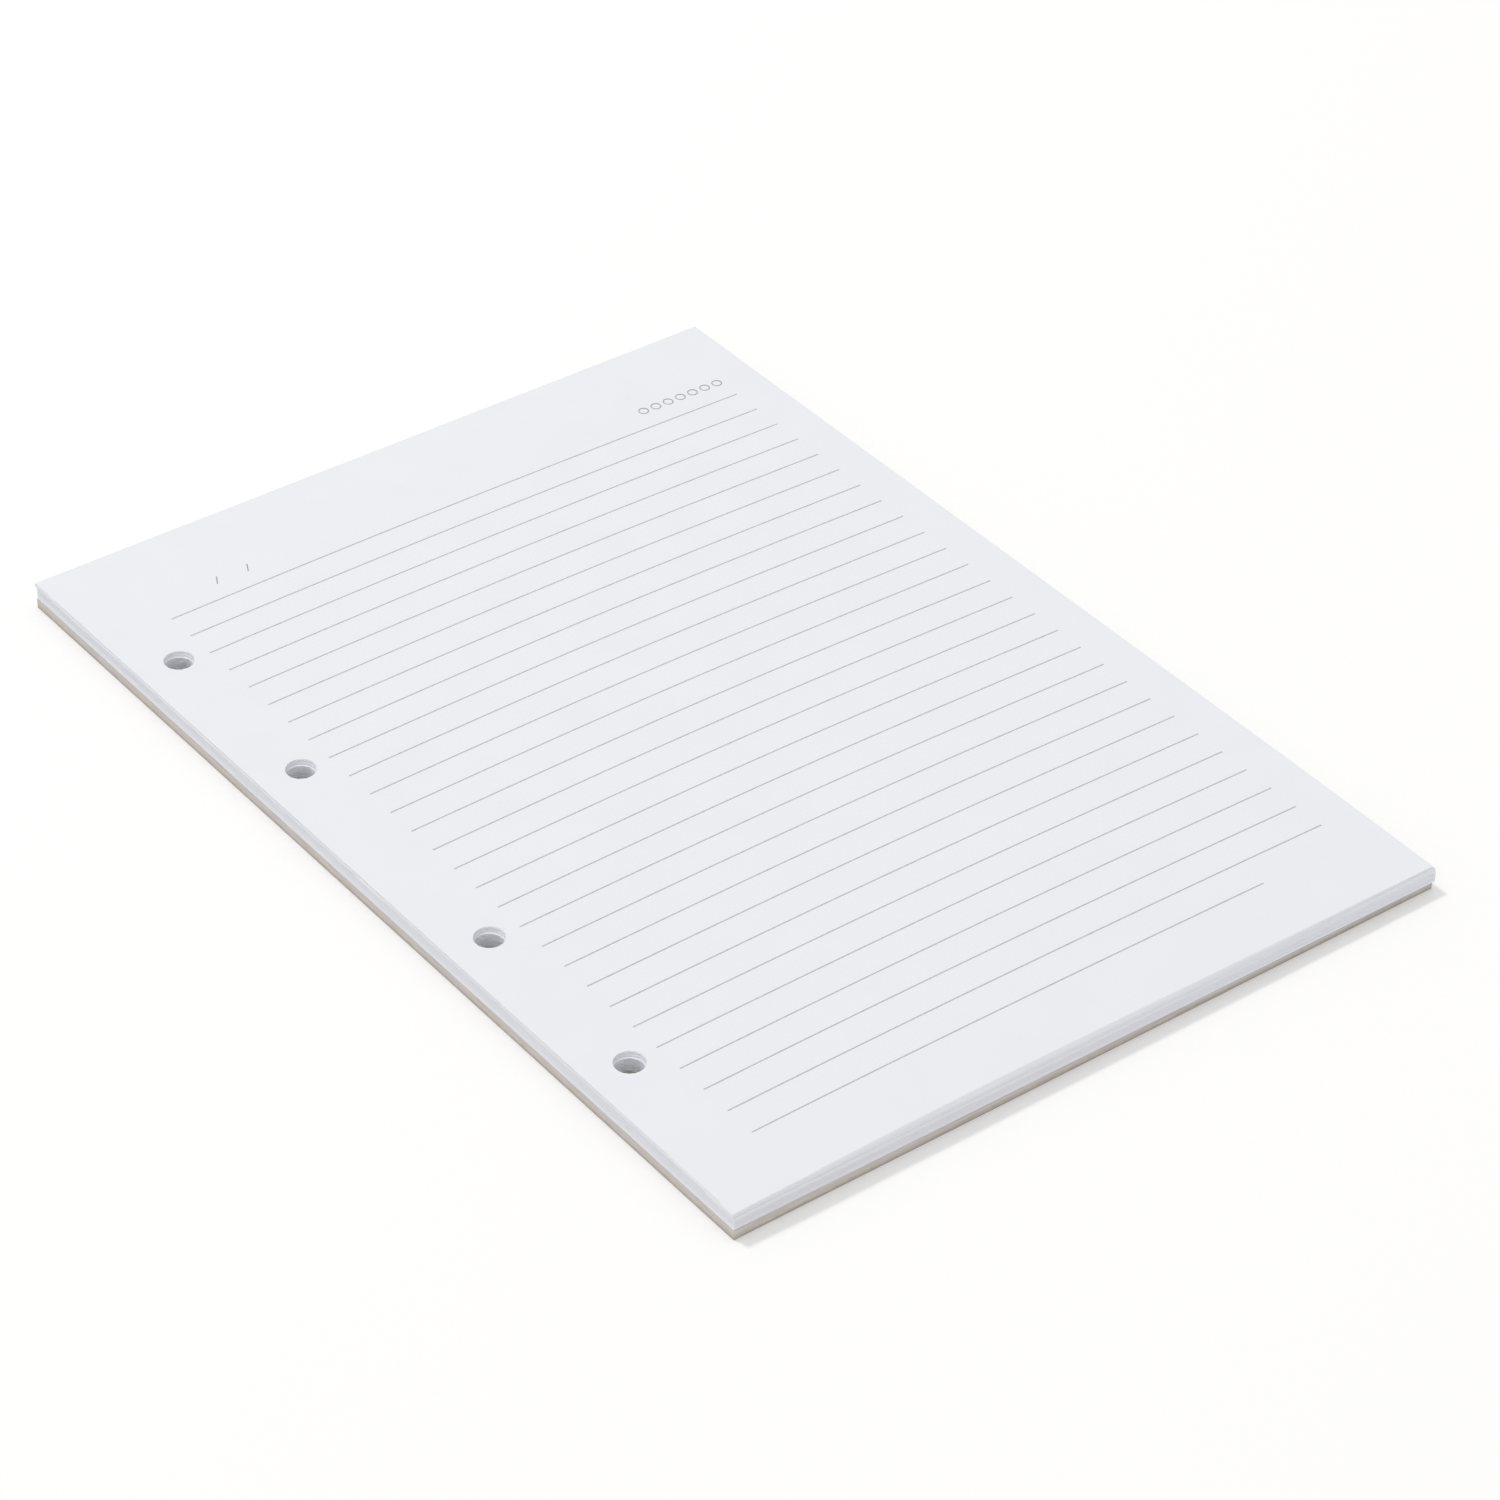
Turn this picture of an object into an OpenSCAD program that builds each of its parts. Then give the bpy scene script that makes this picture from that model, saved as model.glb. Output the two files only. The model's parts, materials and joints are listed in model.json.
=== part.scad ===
// Refill pack for a four-ring binder: loose ruled leaves, punched along the left margin,
// lying on a greyboard backing sheet that is punched with them.
// X runs across the page from the punched margin, Y up the page to its head, Z up from the table.
// The origin is at the middle of the footprint, on the table.

/* [Leaves] */
// Width of one leaf
page_w = 170; // [140:1:210]
// Height of one leaf, head to foot
page_l = 240; // [225:1:300]
// Thickness of one leaf
leaf_t = 0.08; // [0.06:0.005:0.11]
// Leaves in the straight lower part of the stack
lower_leaves = 40; // [20:1:90]
// Leaves in the slipped group on top
upper_leaves = 10; // [7:1:16]
// Sideways slip of the upper group towards the punched margin
slip_x = 0.4; // [0.1:0.05:1.2]
// Thickness of the leaves that fan back at the outer foot corner
fan_t = 1.4; // [0.2:0.1:1.6]
// Lean of the fanned edges from upright, in degrees
fan_lean = 40; // [0:1:65]

/* [Crown] */
// Broad swelling of the loose leaves over the middle of the page
broad_crown = 1.0; // [0.2:0.1:2]
// Extra swelling at the very centre
centre_crown = 0.5; // [0:0.1:1]
// Swelling at the foot, where the punched side holds the leaves apart
foot_swell = 0.6; // [0:0.1:2]
// Settling of the outer foot corner
corner_sag = 0.55; // [0:0.05:0.6]

/* [Backing board] */
// Thickness of the greyboard
board_t = 2.2; // [1:0.1:3]
// How far the board's foot is drawn back at the outer side
board_draw = 0.8; // [0:0.1:3]

/* [Punching] */
// Diameter of the ring holes in the board and the lower leaves
hole_d = 6; // [5:0.1:7]
// Diameter of the holes in the upper group
upper_hole_d = 6.4; // [5.8:0.1:7.2]
// Distance from the stack's punched edge to the hole axes
hole_inset = 9.25; // [7:0.05:12]
// Spacing of the two outer pairs of holes
pair_pitch = 45; // [30:1:50]
// Spacing of the two inner holes
inner_pitch = 65; // [50:1:80]
// How far the row of holes sits above the middle of the page
row_raise = 1.3; // [-3:0.1:3]
// Offset of the upper group's holes from the ring axis, across and up the page
upper_hole_slip = 0.14; // [0:0.02:0.3]

/* [Ruling] */
// Number of rule lines
rule_count = 28; // [10:1:28]
// Distance from the head of the page to the first rule line
head_margin = 27.8; // [24:0.1:32]
// Pitch of the rule lines
rule_pitch = 7.29; // [6:0.01:7.3]
// Width of a printed line
rule_w = 0.25; // [0.15:0.05:0.5]
// Margin from the punched edge to the start of the rules
rule_start = 16; // [14:0.5:25]
// Margin from the outer edge to the end of the rules
rule_end = 9.3; // [5:0.1:20]
// Length that the last rule stops short of the others
last_rule_short = 21.5; // [0:0.5:40]
// Thickness of the printed ink
ink_t = 0.04; // [0.02:0.01:0.1]

/* [Page heading] */
// Number of day rings
ring_count = 7; // [1:1:9]
// Outer diameter of a day ring
ring_d = 2.3; // [1.6:0.1:3]
// Pitch of the day rings
ring_pitch = 3.3; // [3.2:0.1:4]
// Distance from the outer edge to the last day ring
ring_end = 10.2; // [6:0.1:16]
// Distance from the head of the page to the heading row
heading_row = 21.7; // [18:0.1:23]
// Length of a date stroke
stroke_l = 2.6; // [2:0.1:5]
// Lean of a date stroke from upright, in degrees
stroke_lean = 27; // [0:1:35]
// Distance from the punched edge to the first date stroke
stroke_start = 30.8; // [26:0.1:40]
// Pitch of the two date strokes
stroke_pitch = 7.5; // [5:0.1:12]

/* [Hidden] */
$fn = 64;

board_colour = [0.70, 0.68, 0.65];
paper_colour = [0.93, 0.935, 0.95];
rule_colour = [0.74, 0.75, 0.78];
heading_colour = [0.55, 0.56, 0.60];

lower_t = lower_leaves * leaf_t;
upper_t = upper_leaves * leaf_t;
lower_top = board_t + lower_t;
upper_base_z = lower_top + upper_t;
// Left edges of the upper group and of the board with the lower leaves
upper_left = -(page_w + slip_x) / 2;
lower_left = upper_left + slip_x;
head_y = page_l / 2;
foot_y = -page_l / 2;
page_mid = upper_left + page_w / 2;

hole_x = upper_left + hole_inset;
hole_ys = [for (s = [1, -1], d = [inner_pitch / 2 + pair_pitch, inner_pitch / 2]) row_raise + s * d];
cut_clear = 1;

// The crowned face is a grid: rows at the head margin, at every rule line and at the foot margin
crown_cols = 16;
head_rows = 5;
foot_rows = 5;
row_ease = 1.5;
// How sharply the broad swelling ends towards head and foot, and how soon the foot's own begins
broad_end = 8;
foot_start = 6;
// Share of the width, from the punched edge, at which the foot swells most
swell_at = 0.25;
sag_start = 3;
last_row = head_rows + rule_count - 1 + foot_rows;
col_w = page_w / crown_cols;
last_rule = head_margin + (rule_count - 1) * rule_pitch;
// The ink floats this far over the crowned face, so that a flat mark clears its slope
ink_gap = 0.01;
ring_wall = 0.18;
stroke_w = 0.2;
flat_ink_gap = 0.03;

// Swelling of the loose leaves above the flat stack at a place on the page
function crown(x, y) =
    let (across = (x - page_mid) / (page_w / 2))
    let (along = -y / head_y)
    broad_crown * (1 - pow(across, 2)) * (1 - pow(along, broad_end))
    + centre_crown * pow(cos(90 * across), 2) * pow(cos(90 * along), 2)
    + foot_form((x - upper_left) / page_w) * pow(max(0, along), foot_start);

// Swelling at the foot edge, full near the punched side and sagging to the outer corner
function foot_form(share) =
    let (fall = 1 / swell_at - 1)
    foot_swell * (share / swell_at) * pow((1 - share) / (1 - swell_at), fall)
    - corner_sag * pow(share, sag_start);

function face_z(x, y) = upper_base_z + crown(x, y);

function col_x(i) = upper_left + i * col_w;

function row_y(j) =
    j < head_rows ? head_y - head_margin * pow(j / head_rows, row_ease)
    : j < head_rows + rule_count ? rule_y(j - head_rows)
    : let (share = 1 - pow(1 - (j - head_rows - rule_count + 1) / foot_rows, row_ease))
        head_y - last_rule - (page_l - last_rule) * share;

function rule_y(k) = head_y - head_margin - k * rule_pitch;

// Height of the face along one row, straight between the grid's columns
function row_z(x, y) =
    let (i = min(crown_cols - 1, floor((x - upper_left) / col_w)))
    let (share = (x - col_x(i)) / col_w)
    (1 - share) * face_z(col_x(i), y) + share * face_z(col_x(i + 1), y);

module ring_axes() {
    for (y = hole_ys) translate([hole_x, y, 0]) children();
}

// A sheet pile with square head corners and its foot drawn back at the outer side
module pile(left, thick, outer_draw) {
    linear_extrude(thick)
        polygon([
            [left, foot_y],
            [left + page_w, foot_y + outer_draw],
            [left + page_w, head_y],
            [left, head_y]
        ]);
}

module backing_board() {
    color(board_colour)
        difference() {
            pile(lower_left, board_t, board_draw);
            ring_axes()
                translate([0, 0, -cut_clear])
                    cylinder(h = board_t + 2 * cut_clear, d = hole_d);
        }
}

// The slipped upper group: flat below, swollen above
module upper_group() {
    across = crown_cols + 1;
    face = [
        for (j = [0:last_row], i = [0:crown_cols])
            let (x = col_x(i), y = row_y(j))
            [x, y, face_z(x, y)]
    ];
    base = [
        for (p = [face[0], face[crown_cols], face[across * last_row + crown_cols], face[across * last_row]])
            [p[0], p[1], lower_top]
    ];
    b = len(face);
    head_side = [for (i = [0:crown_cols]) i];
    right_side = [for (j = [0:last_row]) j * across + crown_cols];
    foot_side = [for (i = [crown_cols:-1:0]) last_row * across + i];
    left_side = [for (j = [last_row:-1:0]) j * across];
    cells = [
        for (j = [0:last_row - 1], i = [0:crown_cols - 1])
            let (a = j * across + i, c = a + across)
            each [[a, a + 1, c + 1], [a, c + 1, c]]
    ];
    sides = [
        concat([b + 1, b], head_side),
        concat([b + 2, b + 1], right_side),
        concat([b + 3, b + 2], foot_side),
        concat([b, b + 3], left_side),
        [b, b + 1, b + 2, b + 3]
    ];
    polyhedron(concat(face, base), concat(cells, sides), convexity = 4);
}

// What the fan takes off the foot edges: a slope that starts over the foot's swelling at the punched
// side and reaches down through the fanned leaves at the outer side
module fan_cut() {
    fall = atan((foot_swell + fan_t) / page_w);
    room = fan_t + foot_swell + cut_clear;
    translate([upper_left, foot_y, upper_base_z + foot_swell])
        rotate([-fan_lean, fall, 0])
            translate([-cut_clear, -room, -cut_clear])
                cube([page_w + slip_x + 2 * cut_clear, room, room + cut_clear]);
}

module page_block() {
    color(paper_colour)
        union() {
            difference() {
                translate([0, 0, board_t]) pile(lower_left, lower_t, 0);
                fan_cut();
                ring_axes()
                    translate([0, 0, board_t - cut_clear])
                        cylinder(h = lower_t + 2 * cut_clear, d = hole_d);
            }
            difference() {
                upper_group();
                fan_cut();
                ring_axes()
                    translate([upper_hole_slip, upper_hole_slip, lower_top - cut_clear])
                        cylinder(h = upper_t + broad_crown + centre_crown + 2 * cut_clear, d = upper_hole_d);
            }
        }
}

// One printed line that follows the crowned face from one end to the other
module rule_line(k) {
    y = rule_y(k);
    start = upper_left + rule_start;
    stop = upper_left + page_w - rule_end - (k == rule_count - 1 ? last_rule_short : 0);
    xs = concat(
        [start],
        [for (i = [0:crown_cols]) if (col_x(i) > start && col_x(i) < stop) col_x(i)],
        [stop]
    );
    under = [for (x = xs) [x, row_z(x, y) + ink_gap]];
    over = [for (n = [len(xs) - 1:-1:0]) [xs[n], row_z(xs[n], y) + ink_gap + ink_t]];
    translate([0, y + rule_w / 2, 0])
        rotate([90, 0, 0])
            linear_extrude(rule_w)
                polygon(concat(under, over));
}

module rule_lines() {
    color(rule_colour)
        for (k = [0:rule_count - 1]) rule_line(k);
}

module day_rings() {
    y = head_y - heading_row;
    color(heading_colour)
        for (n = [0:ring_count - 1]) {
            x = upper_left + page_w - ring_end - n * ring_pitch;
            translate([x, y, face_z(x, y) + flat_ink_gap])
                linear_extrude(ink_t)
                    difference() {
                        circle(d = ring_d);
                        circle(d = ring_d - 2 * ring_wall);
                    }
        }
}

module date_strokes() {
    y = head_y - heading_row;
    color(heading_colour)
        for (n = [0, 1]) {
            x = upper_left + stroke_start + n * stroke_pitch;
            translate([x, y, face_z(x, y) + flat_ink_gap])
                rotate([0, 0, -stroke_lean])
                    linear_extrude(ink_t)
                        square([stroke_w, stroke_l], center = true);
        }
}

backing_board();
page_block();
rule_lines();
day_rings();
date_strokes();
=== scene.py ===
"""Ring binder refill paper: loose ruled leaves on a greyboard backing, in metres and the part's frame."""

import json
import math
import random

import bpy
from mathutils import Matrix, Vector
from mathutils.geometry import delaunay_2d_cdt


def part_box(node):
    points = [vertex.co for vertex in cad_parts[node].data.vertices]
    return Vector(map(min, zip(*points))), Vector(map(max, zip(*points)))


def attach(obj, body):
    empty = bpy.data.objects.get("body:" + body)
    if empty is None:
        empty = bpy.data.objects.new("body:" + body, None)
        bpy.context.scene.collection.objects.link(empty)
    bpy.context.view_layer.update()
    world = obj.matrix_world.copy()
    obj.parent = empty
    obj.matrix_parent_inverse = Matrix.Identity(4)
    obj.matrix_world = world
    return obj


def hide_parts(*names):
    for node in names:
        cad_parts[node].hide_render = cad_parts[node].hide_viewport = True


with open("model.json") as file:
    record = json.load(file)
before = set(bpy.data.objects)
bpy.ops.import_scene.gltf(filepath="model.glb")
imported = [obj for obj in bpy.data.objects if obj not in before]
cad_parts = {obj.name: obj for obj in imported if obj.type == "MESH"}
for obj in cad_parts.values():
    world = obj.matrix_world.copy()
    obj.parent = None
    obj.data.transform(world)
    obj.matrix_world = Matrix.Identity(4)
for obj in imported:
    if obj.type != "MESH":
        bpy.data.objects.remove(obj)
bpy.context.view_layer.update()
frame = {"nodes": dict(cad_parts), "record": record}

MM = 0.001

# Sizes of the pack, as in the part
page_w = 170 * MM
leaf_t = 0.08 * MM
lower_leaves = 40
upper_leaves = 10
slip_x = 0.4 * MM
fan_t = 1.4 * MM
fan_lean = math.radians(40)
broad_crown = 1.0 * MM
centre_crown = 0.5 * MM
foot_swell = 0.6 * MM
corner_sag = 0.55 * MM
hole_r = 3.0 * MM
upper_hole_r = 3.2 * MM
upper_hole_slip = 0.14 * MM

# How the swelling spreads over the page, as in the part
broad_end = 8
foot_start = 6
swell_at = 0.25
sag_start = 3

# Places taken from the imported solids
board_low, board_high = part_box("backing_board")
page_low, page_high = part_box("page_block")
board_top = board_high[2]
upper_left = page_low[0]
upper_right = upper_left + page_w
lower_left = board_low[0]
head_y = page_high[1]
foot_y = page_low[1]
lower_top = board_top + lower_leaves * leaf_t
stack_top = lower_top + upper_leaves * leaf_t
hole_mounts = [m for m in frame["record"]["mounts"] if m["kind"] == "bore"]
hole_centres = [(m["pos_m"][0], m["pos_m"][1]) for m in hole_mounts]

# How the loose leaves lie: trimmed a hair inside the part's box, a gap between them, each one jogged
trim = 0.08 * MM
leaf_gap = 0.004 * MM
leaf_jog = 0.06 * MM
leaf_turn = 0.00022
# How far the upper group's punched side and its holes lean back over the height of the group
edge_lean = 0.12 * MM
hole_lean = 0.3 * MM

# Spacing of the mesh points and points round a hole, in the lower leaves, the upper ones and the top one
lower_spacing = 20 * MM
upper_spacing = 8 * MM
top_spacing = 4 * MM
lower_ring_points = 40
upper_ring_points = 64

# The viewpoint, fitted to the corners and the rule lines
sensor_width_mm = 36
lens_mm = 123.43
camera_place = (-499.18, -657.28, 618.93)
camera_yaw = math.radians(-37.746)
camera_pitch = math.radians(53.079)
camera_roll = math.radians(1.089)

# Studio light, in metres and watts
world_light = 0.72
key_size = 0.5
key_power = 38
key_place = (-0.75, 1.6, 3.4)

# The table: half its width, how far it lies under the board, and what it is lifted by for the camera
floor_half = 6.0
floor_drop = 0.02 * MM
floor_lift = 0.10

dice = random.Random(11)


def crown(x, y):
    """Swelling of the loose leaves above the flat stack."""
    share = max(0, min(1, (x - upper_left) / page_w))
    across = 2 * share - 1
    along = max(-1, min(1, 1 - 2 * (y - foot_y) / (head_y - foot_y)))
    broad = broad_crown * (1 - across ** 2) * (1 - along ** broad_end)
    centre = centre_crown * math.cos(math.pi / 2 * across) ** 2 * math.cos(math.pi / 2 * along) ** 2
    fall = 1 / swell_at - 1
    swell = foot_swell * share / swell_at * ((1 - share) / (1 - swell_at)) ** fall
    sag = corner_sag * share ** sag_start
    return broad + centre + (swell - sag) * max(0, along) ** foot_start


def fanned_foot(x, height):
    """Foot of a leaf at this height: the top leaves fan back towards the outer corner."""
    share = max(0, min(1, (x - upper_left) / page_w))
    start = stack_top + foot_swell - (foot_swell + fan_t) * share
    return foot_y + max(0, height - start) * math.tan(fan_lean)


def material(name):
    """A new node material, with its node tree and its shader."""
    mat = bpy.data.materials.new(name)
    mat.use_nodes = True
    tree = mat.node_tree
    return mat, tree, tree.nodes["Principled BSDF"]


def mix_colour(tree, factor, a, b):
    """Mixes colours a and b, each a socket or an rgb triple, by a socket or a number."""
    made = tree.nodes.new("ShaderNodeMix")
    made.data_type = "RGBA"
    for socket, value in ((made.inputs["Factor"], factor), (made.inputs[6], a), (made.inputs[7], b)):
        if isinstance(value, bpy.types.NodeSocket):
            tree.links.new(value, socket)
        elif isinstance(value, (int, float)):
            socket.default_value = value
        else:
            socket.default_value = (*value, 1)
    return made.outputs[2]


def noise(tree, scale, detail=3, roughness=0.5, stretch=(1, 1, 1)):
    """Noise in the part's own frame; scale is in features for each metre."""
    place = tree.nodes.new("ShaderNodeTexCoord")
    mapping = tree.nodes.new("ShaderNodeMapping")
    mapping.inputs["Scale"].default_value = stretch
    tree.links.new(place.outputs["Object"], mapping.inputs["Vector"])
    made = tree.nodes.new("ShaderNodeTexNoise")
    made.inputs["Scale"].default_value = scale
    made.inputs["Detail"].default_value = detail
    made.inputs["Roughness"].default_value = roughness
    tree.links.new(mapping.outputs["Vector"], made.inputs["Vector"])
    return made.outputs["Fac"]


def ramp(tree, source, low, high):
    """Source stretched so that low gives 0 and high gives 1."""
    made = tree.nodes.new("ShaderNodeMapRange")
    made.inputs["From Min"].default_value = low
    made.inputs["From Max"].default_value = high
    tree.links.new(source, made.inputs["Value"])
    return made.outputs["Result"]


def bump(tree, shader, height, distance, strength=1.0):
    made = tree.nodes.new("ShaderNodeBump")
    made.inputs["Strength"].default_value = strength
    made.inputs["Distance"].default_value = distance
    tree.links.new(height, made.inputs["Height"])
    tree.links.new(made.outputs["Normal"], shader.inputs["Normal"])


def faces_up(tree):
    """1 on faces that lie flat and 0 on the cut edges."""
    geometry = tree.nodes.new("ShaderNodeNewGeometry")
    parts = tree.nodes.new("ShaderNodeSeparateXYZ")
    tree.links.new(geometry.outputs["True Normal"], parts.inputs["Vector"])
    size = tree.nodes.new("ShaderNodeMath")
    size.operation = "ABSOLUTE"
    tree.links.new(parts.outputs["Z"], size.inputs[0])
    return ramp(tree, size.outputs["Value"], 0.45, 0.55)


def table_shade_and_ply(tree):
    """Mask for painted contact shade, with the darker rough lower ply: 1 at the table and 0 higher up the
    board's cut edge, with a ragged limit between.
    """
    place = tree.nodes.new("ShaderNodeTexCoord")
    parts = tree.nodes.new("ShaderNodeSeparateXYZ")
    tree.links.new(place.outputs["Object"], parts.inputs["Vector"])
    wobble = tree.nodes.new("ShaderNodeMath")
    wobble.operation = "MULTIPLY_ADD"
    wobble.inputs[1].default_value = -1.2 * MM
    tree.links.new(noise(tree, 500, detail=5, roughness=0.7), wobble.inputs[0])
    tree.links.new(parts.outputs["Z"], wobble.inputs[2])
    return ramp(tree, wobble.outputs["Value"], 0.45 * MM, -0.5 * MM)


def paper_material():
    mat, tree, shader = material("uncoated_paper")
    cloud = ramp(tree, noise(tree, 90, detail=4), 0.3, 0.7)
    face = mix_colour(tree, cloud, (0.872, 0.888, 0.922), (0.888, 0.902, 0.934))
    # Each leaf's cut edge has its own shade, with fibres along the cut. The cut edges are painted lighter
    # than the face: painted light that brightens the side faces
    leaf_shade = ramp(tree, noise(tree, 60, detail=2, stretch=(1, 1, 150)), 0.3, 0.7)
    edge = mix_colour(tree, leaf_shade, (0.895, 0.90, 0.945), (0.94, 0.945, 0.975))
    tree.links.new(mix_colour(tree, faces_up(tree), edge, face), shader.inputs["Base Color"])
    shader.inputs["Roughness"].default_value = 0.8
    shader.inputs["Specular IOR Level"].default_value = 0.3
    bump(tree, shader, noise(tree, 2600, detail=5, roughness=0.65), 0.006 * MM, 0.5)
    return mat


def board_material():
    mat, tree, shader = material("grey_pulp_board")
    pulp = ramp(tree, noise(tree, 700, detail=6, roughness=0.7), 0.3, 0.7)
    flecks = ramp(tree, noise(tree, 2200, detail=2), 0.62, 0.72)
    face = mix_colour(tree, pulp, (0.54, 0.50, 0.46), (0.66, 0.62, 0.575))
    face = mix_colour(tree, flecks, face, (0.34, 0.31, 0.28))
    plies = ramp(tree, noise(tree, 130, detail=4, stretch=(1, 1, 26)), 0.3, 0.7)
    edge = mix_colour(tree, plies, (0.57, 0.53, 0.49), (0.71, 0.67, 0.62))
    # Painted contact shade, with the darker rough lower ply: the cut edge darkens towards the table, with
    # a ragged limit
    edge = mix_colour(tree, table_shade_and_ply(tree), edge, (0.45, 0.42, 0.385))
    tree.links.new(mix_colour(tree, faces_up(tree), edge, face), shader.inputs["Base Color"])
    shader.inputs["Roughness"].default_value = 0.92
    shader.inputs["Specular IOR Level"].default_value = 0.2
    bump(tree, shader, noise(tree, 1800, detail=6, roughness=0.7), 0.03 * MM, 0.6)
    return mat


def ink_material(name, light, dark):
    mat, tree, shader = material(name)
    cover = ramp(tree, noise(tree, 1500, detail=3), 0.35, 0.65)
    tree.links.new(mix_colour(tree, cover, dark, light), shader.inputs["Base Color"])
    shader.inputs["Roughness"].default_value = 0.7
    shader.inputs["Specular IOR Level"].default_value = 0.3
    return mat


def paint(obj, mat):
    obj.data.materials.clear()
    obj.data.materials.append(mat)


def circle(centre, radius, count):
    steps = [2 * math.pi * n / count for n in range(count)]
    return [Vector((centre[0] + radius * math.cos(a), centre[1] + radius * math.sin(a))) for a in steps]


def between(start, stop, spacing):
    """Points from start towards stop, without stop itself."""
    count = max(1, round((stop - start).length / spacing))
    return [start.lerp(stop, n / count) for n in range(count)]


def leaf(left, right, foot, holes, radius, spacing, ring_points):
    """Flat triangulated leaf; foot gives the height of its lower edge at each column."""
    columns = max(4, round((right - left) / spacing))
    xs = [left + (right - left) * n / columns for n in range(columns + 1)]
    border = [Vector((x, foot(x))) for x in xs[:-1]]
    foot_right = Vector((right, foot(right)))
    head_right = Vector((right, head_y - trim))
    head_left = Vector((left, head_y - trim))
    border += between(foot_right, head_right, spacing)
    border += between(head_right, head_left, spacing)
    border += between(head_left, border[0], spacing)
    points = list(border)
    edges = [(n, (n + 1) % len(border)) for n in range(len(border))]
    for centre in holes:
        first = len(points)
        points += circle(centre, radius, ring_points)
        edges += [(first + n, first + (n + 1) % ring_points) for n in range(ring_points)]
    rows = max(4, round((head_y - foot_y) / spacing))
    clear = spacing * 0.45
    for x in xs[1:-1]:
        for j in range(1, rows):
            p = Vector((x, foot_y + (head_y - foot_y) * j / rows))
            if p.y > foot(x) + clear and all((p - Vector(c)).length > radius + clear for c in holes):
                points.append(p)
    verts, _, faces, _, _, _ = delaunay_2d_cdt(points, edges, [], 0, 1e-9)
    kept = []
    for face in faces:
        middle = sum((verts[n] for n in face), Vector((0, 0))) / len(face)
        if all((middle - Vector(c)).length > radius * 0.98 for c in holes):
            kept.append(tuple(face))
    return verts, kept


def add_slab(data, verts, faces, under, over):
    """Adds a closed leaf between two height functions to data, a pair of lists of points and faces."""
    points, polygons = data
    first = len(points)
    count = len(verts)
    points += [(v.x, v.y, over(v.x, v.y)) for v in verts]
    points += [(v.x, v.y, under(v.x, v.y)) for v in verts]
    used = {}
    for face in faces:
        a, b, c = face
        if (verts[b] - verts[a]).cross(verts[c] - verts[a]) < 0:
            face = (a, c, b)
        polygons.append(tuple(first + n for n in face))
        polygons.append(tuple(first + count + n for n in reversed(face)))
        for n in range(3):
            edge = (face[n], face[(n + 1) % 3])
            used[edge] = True
    for a, b in used:
        if (b, a) not in used:
            polygons.append((first + b, first + a, first + count + a, first + count + b))


def jogged(points, angle, shift):
    """The points after the whole leaf has turned and slid a little."""
    spin = Matrix.Rotation(angle, 2)
    return [spin @ Vector(p) + shift for p in points]


def add_leaf(data, left, right, under, over, holes, radius, spacing, ring_points):
    """Adds one leaf between two height functions, jogged a little out of the stack's line."""
    angle = dice.uniform(-leaf_turn, leaf_turn)
    shift = Vector((dice.uniform(-leaf_jog, leaf_jog), dice.uniform(-leaf_jog, leaf_jog)))

    def foot(x):
        return fanned_foot(x, over(x, foot_y)) + trim
    verts, faces = leaf(left + trim, right - trim, foot, holes, radius, spacing, ring_points)
    add_slab(data, jogged(verts, angle, shift), faces, under, over)


def build_leaves():
    """Every leaf of the stack as a closed slab of its own, in one mesh."""
    data = ([], [])
    for n in range(lower_leaves):
        low = board_top + n * leaf_t
        add_leaf(
            data, lower_left, lower_left + page_w,
            lambda x, y: low + leaf_gap,
            lambda x, y: low + leaf_t,
            hole_centres, hole_r, lower_spacing, lower_ring_points,
        )
    for n in range(upper_leaves):
        low = lower_top + n * leaf_t
        below = n / upper_leaves
        above = (n + 1) / upper_leaves
        slip = upper_hole_slip + hole_lean * below
        upper_holes = [(x + slip, y + slip) for x, y in hole_centres]
        spacing = top_spacing if n == upper_leaves - 1 else upper_spacing
        add_leaf(
            data, upper_left + edge_lean * below, upper_right,
            lambda x, y: low + leaf_gap + crown(x, y) * below,
            lambda x, y: low + leaf_t + crown(x, y) * above,
            upper_holes, upper_hole_r, spacing, upper_ring_points,
        )
    mesh = bpy.data.meshes.new("page_leaves")
    mesh.from_pydata(data[0], [], data[1])
    mesh.update()
    obj = bpy.data.objects.new("page_leaves", mesh)
    bpy.context.collection.objects.link(obj)
    return obj


def aim(obj, target):
    direction = Vector(target) - obj.location
    obj.rotation_euler = direction.to_track_quat("-Z", "Y").to_euler()


def add_camera():
    """The photo's own viewpoint, for a square frame."""
    data = bpy.data.cameras.new("camera")
    data.sensor_width = sensor_width_mm
    data.lens = lens_mm
    data.clip_start = 0.01
    cam = bpy.data.objects.new("camera", data)
    bpy.context.collection.objects.link(cam)
    cam.location = Vector(camera_place) * MM
    yaw = Matrix.Rotation(camera_yaw, 3, "Z")
    pitch = Matrix.Rotation(camera_pitch, 3, "X")
    roll = Matrix.Rotation(camera_roll, 3, "Z")
    cam.rotation_euler = (yaw @ pitch @ roll).to_euler()
    bpy.context.scene.camera = cam


def add_light(name, size, power, place):
    data = bpy.data.lights.new(name, "AREA")
    data.shape = "DISK"
    data.size = size
    data.energy = power
    lamp = bpy.data.objects.new(name, data)
    bpy.context.collection.objects.link(lamp)
    lamp.location = place
    aim(lamp, (0, 0, 0))


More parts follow.
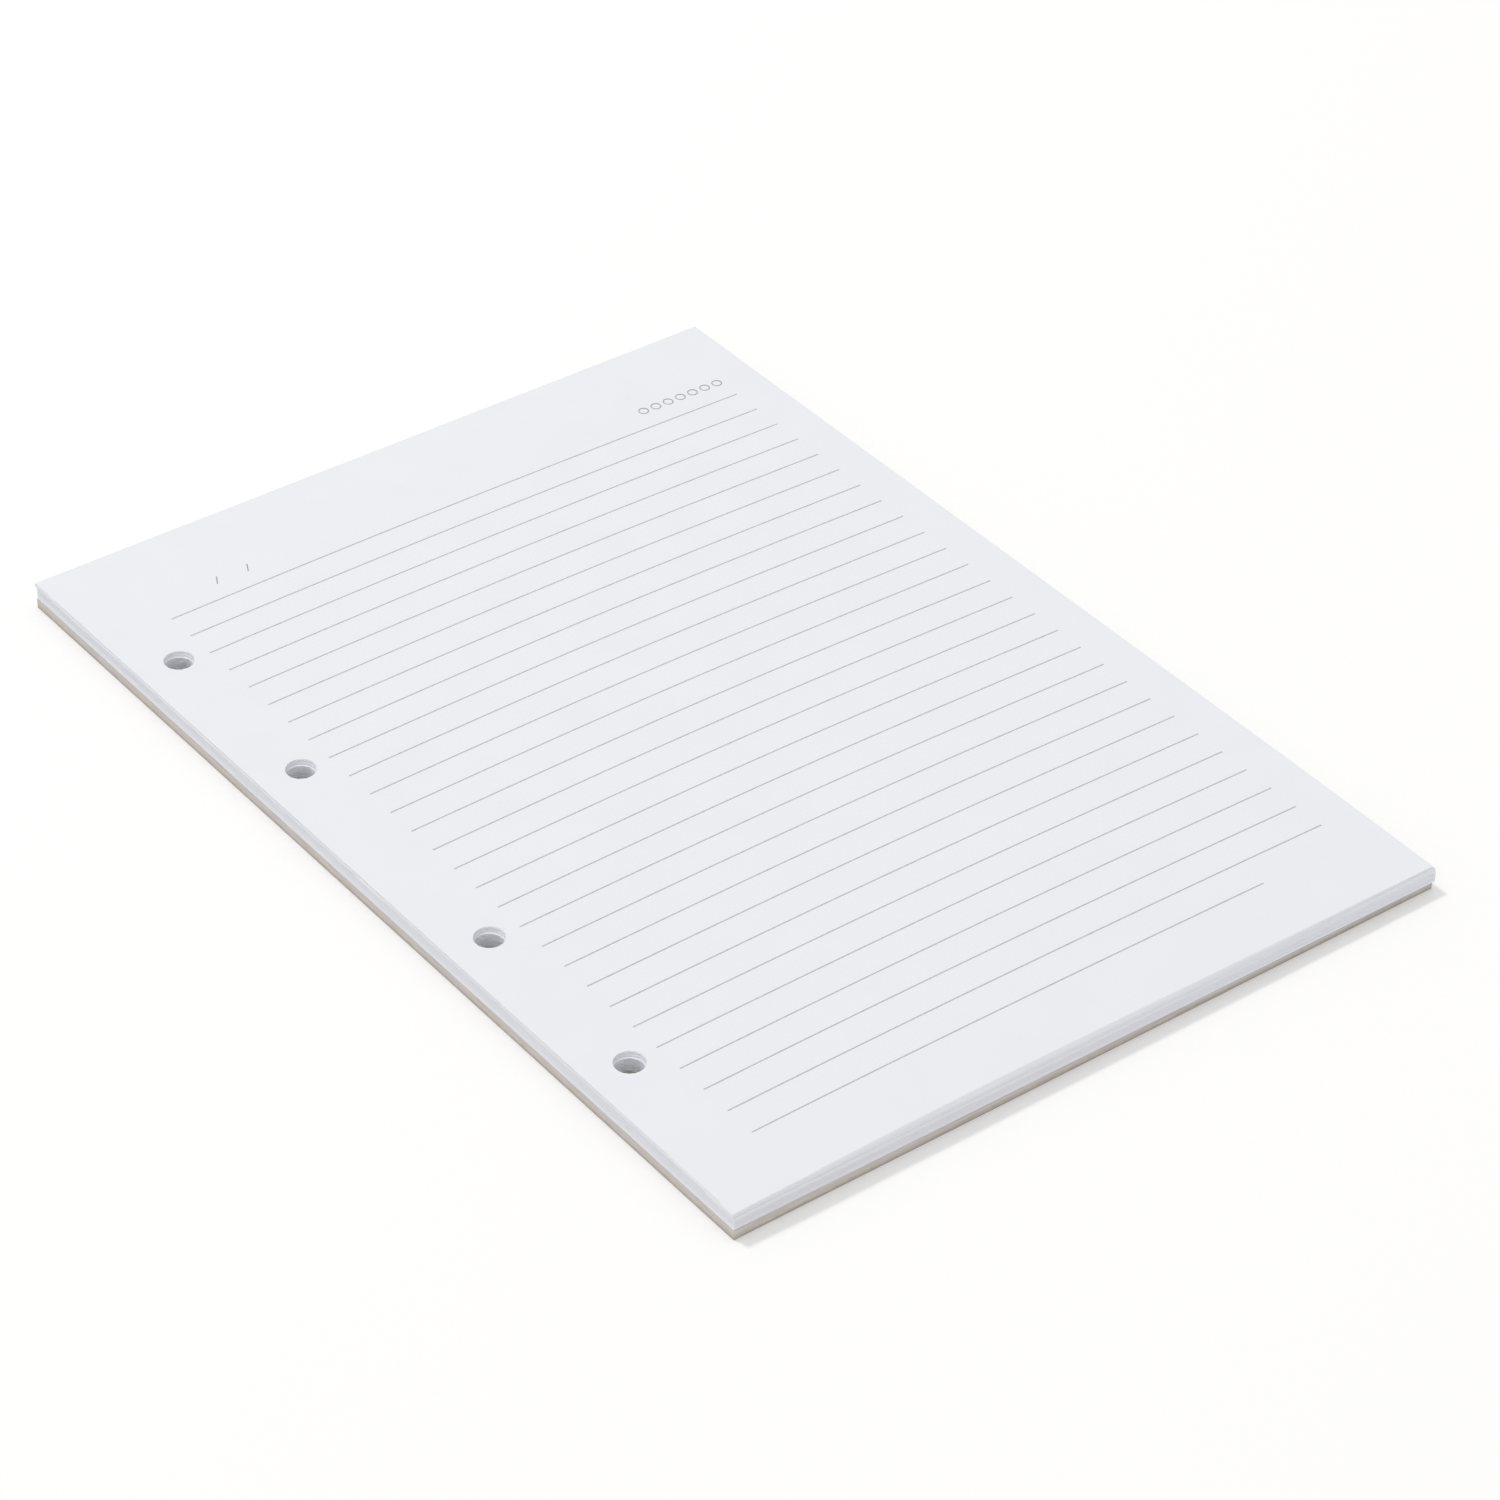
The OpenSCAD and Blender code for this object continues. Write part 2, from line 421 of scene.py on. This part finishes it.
def add_world(strength):
    world = bpy.data.worlds.new("studio")
    bpy.context.scene.world = world
    world.use_nodes = True
    tree = world.node_tree
    light = tree.nodes["Background"]
    light.inputs["Color"].default_value = (1, 1, 1, 1)
    light.inputs["Strength"].default_value = strength
    seen = tree.nodes.new("ShaderNodeBackground")
    seen.inputs["Strength"].default_value = 1
    path = tree.nodes.new("ShaderNodeLightPath")
    mix = tree.nodes.new("ShaderNodeMixShader")
    tree.links.new(path.outputs["Is Camera Ray"], mix.inputs["Fac"])
    tree.links.new(light.outputs["Background"], mix.inputs[1])
    tree.links.new(seen.outputs["Background"], mix.inputs[2])
    tree.links.new(mix.outputs["Shader"], tree.nodes["World Output"].inputs["Surface"])


def add_floor():
    """A flat white table that keeps the pack's shadow."""
    corners = [(-1, -1), (1, -1), (1, 1), (-1, 1)]
    mesh = bpy.data.meshes.new("floor")
    mesh.from_pydata([(floor_half * x, floor_half * y, 0) for x, y in corners], [], [(0, 1, 2, 3)])
    floor = bpy.data.objects.new("floor", mesh)
    bpy.context.collection.objects.link(floor)
    floor.location.z = -floor_drop
    mat, tree, shader = material("white_table")
    shader.inputs["Base Color"].default_value = (0.95, 0.945, 0.937, 1)
    shader.inputs["Roughness"].default_value = 0.9
    shader.inputs["Specular IOR Level"].default_value = 0.0
    glow = tree.nodes.new("ShaderNodeEmission")
    path = tree.nodes.new("ShaderNodeLightPath")
    lift = tree.nodes.new("ShaderNodeMath")
    lift.operation = "MULTIPLY"
    lift.inputs[1].default_value = floor_lift
    tree.links.new(path.outputs["Is Camera Ray"], lift.inputs[0])
    tree.links.new(lift.outputs["Value"], glow.inputs["Strength"])
    both = tree.nodes.new("ShaderNodeAddShader")
    tree.links.new(shader.outputs["BSDF"], both.inputs[0])
    tree.links.new(glow.outputs["Emission"], both.inputs[1])
    tree.links.new(both.outputs["Shader"], tree.nodes["Material Output"].inputs["Surface"])
    paint(floor, mat)


add_camera()
add_world(world_light)
add_light("key", key_size, key_power, key_place)
add_floor()

paper = paper_material()
board = board_material()
rule_ink = ink_material("rule_ink", (0.60, 0.60, 0.615), (0.51, 0.51, 0.52))
heading_ink = ink_material("heading_ink", (0.42, 0.43, 0.47), (0.34, 0.35, 0.39))

leaves = build_leaves()
paint(leaves, paper)
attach(leaves, "root")
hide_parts("page_block")

paint(frame["nodes"]["backing_board"], board)
paint(frame["nodes"]["rule_lines"], rule_ink)
paint(frame["nodes"]["day_rings"], heading_ink)
paint(frame["nodes"]["date_strokes"], heading_ink)

bpy.context.scene.view_settings.view_transform = "Standard"
